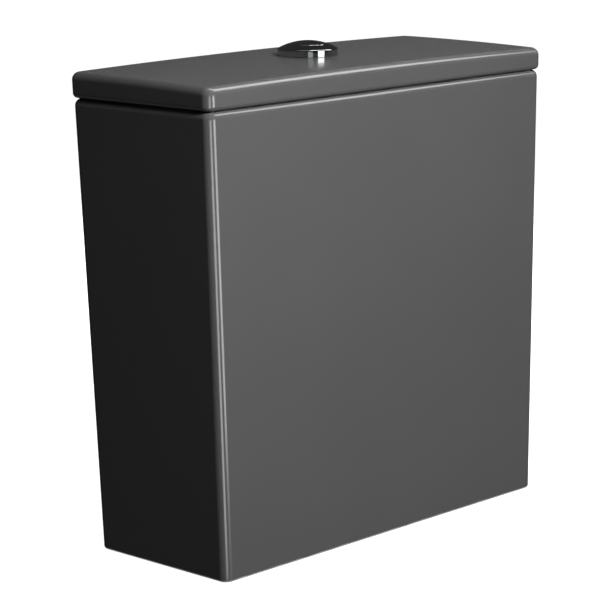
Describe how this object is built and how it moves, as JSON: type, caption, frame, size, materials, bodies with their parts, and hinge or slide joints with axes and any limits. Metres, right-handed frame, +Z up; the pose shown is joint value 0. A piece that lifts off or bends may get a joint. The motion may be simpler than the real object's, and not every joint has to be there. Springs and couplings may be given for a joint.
{
  "type": "toilet cistern",
  "caption": "Tapered close-coupled toilet cistern in dark glazed china with a crowned lift-off lid, a chrome twin push button, a lever-worked outlet valve and a bottom-fed filling valve.",
  "frame": {"origin": "midway between the two pan bolts, on the plane where the tank's foot seats on the pan; the outlet axis and the button axis pass through it", "axes": "+Z up; -Y out of the front face; +X to the right seen from the front"},
  "size_m": [0.3672, 0.1458, 0.3998],
  "materials": {
    "china": "dark grey gloss glaze",
    "chrome": "bright plated",
    "white_plastic": "moulded, satin",
    "blue_plastic": "moulded, satin",
    "grey_plastic": "moulded, satin",
    "rubber": "matt",
    "steel": "stainless"
  },
  "bodies": {
    "tank": {"tank": "china", "outlet_base": "white_plastic", "base_washer": "rubber", "outlet_nut": "white_plastic", "pan_gasket": "rubber", "valve_tower": "white_plastic", "lever_frame": "grey_plastic", "lever_pin": "steel", "fill_body": "white_plastic", "fill_washer": "rubber", "fill_nut": "white_plastic", "inlet_filter": "blue_plastic", "hush_pipe": "grey_plastic", "fill_diaphragm": "rubber", "fill_cap": "grey_plastic", "fill_lever_pin": "steel", "pan_bolts": "steel", "bolt_seals": "rubber", "bolt_washers": "steel", "bolt_nuts": "steel"},
    "lid": {"lid": "china", "button_bezel": "chrome", "button_washer": "rubber", "button_nut": "white_plastic", "full_spring": "steel", "half_spring": "steel"},
    "full_button": {"full_button": "chrome", "full_rod": "steel", "full_rod_nut": "white_plastic"},
    "half_button": {"half_button": "chrome", "half_rod": "steel", "half_rod_nut": "white_plastic"},
    "full_lever": {"full_lever": "blue_plastic"},
    "half_lever": {"half_lever": "white_plastic"},
    "half_lifter": {"half_lifter": "white_plastic"},
    "flush_tube": {"overflow_tube": "grey_plastic", "lift_yoke": "blue_plastic", "outlet_float": "blue_plastic", "outlet_seal": "rubber", "seal_clip": "white_plastic"},
    "half_float": {"half_float": "blue_plastic"},
    "fill_float": {"fill_float": "blue_plastic", "float_link": "steel"},
    "fill_lever": {"fill_lever": "blue_plastic"}
  },
  "joints": [
    {"name": "lid_lift", "type": "slide", "parent": "tank", "child": "lid", "axis": [0, 0, 1], "range_m": [0, 0.15]},
    {"name": "full_press", "type": "slide", "parent": "lid", "child": "full_button", "axis": [0, 0, -1], "range_m": [0, 0.007], "stiffness_N_per_m": 400, "springref_m": -0.006, "deforming": ["full_spring"]},
    {"name": "half_press", "type": "slide", "parent": "lid", "child": "half_button", "axis": [0, 0, -1], "range_m": [0, 0.007], "stiffness_N_per_m": 400, "springref_m": -0.006, "deforming": ["half_spring"]},
    {"name": "full_lever_swing", "type": "hinge", "parent": "tank", "child": "full_lever", "pos_m": [0.008, 0.006, 0.285], "axis": [1, 0, 0], "range_deg": [0, 28.1]},
    {"name": "half_lever_swing", "type": "hinge", "parent": "tank", "child": "half_lever", "pos_m": [-0.008, 0.006, 0.285], "axis": [1, 0, 0], "range_deg": [0, 28.1]},
    {"name": "half_lifter_rise", "type": "slide", "parent": "tank", "child": "half_lifter", "axis": [0, 0, 1], "range_m": [0, 0.00874]},
    {"name": "flush_tube_rise", "type": "slide", "parent": "half_lifter", "child": "flush_tube", "axis": [0, 0, 1], "range_m": [0, 0.01262]},
    {"name": "half_float_rise", "type": "slide", "parent": "tank", "child": "half_float", "axis": [0, 0, 1], "range_m": [0, 0.025]},
    {"name": "fill_float_rise", "type": "slide", "parent": "tank", "child": "fill_float", "axis": [0, 0, 1], "range_m": [0, 0.02]},
    {"name": "fill_lever_swing", "type": "hinge", "parent": "tank", "child": "fill_lever", "pos_m": [-0.128, -0.008, 0.264], "axis": [0, -1, 0], "range_deg": [0, 35.8]}
  ],
  "couplings": [
    {"joint": "full_lever_swing", "follows": "full_press", "rad_per_m": 69.99},
    {"joint": "flush_tube_rise", "follows": "full_press", "ratio": 1.8016},
    {"joint": "half_lever_swing", "follows": "half_press", "rad_per_m": 69.99},
    {"joint": "half_lifter_rise", "follows": "half_press", "ratio": 1.2473},
    {"joint": "fill_lever_swing", "follows": "fill_float_rise", "rad_per_m": 31.2}
  ]
}
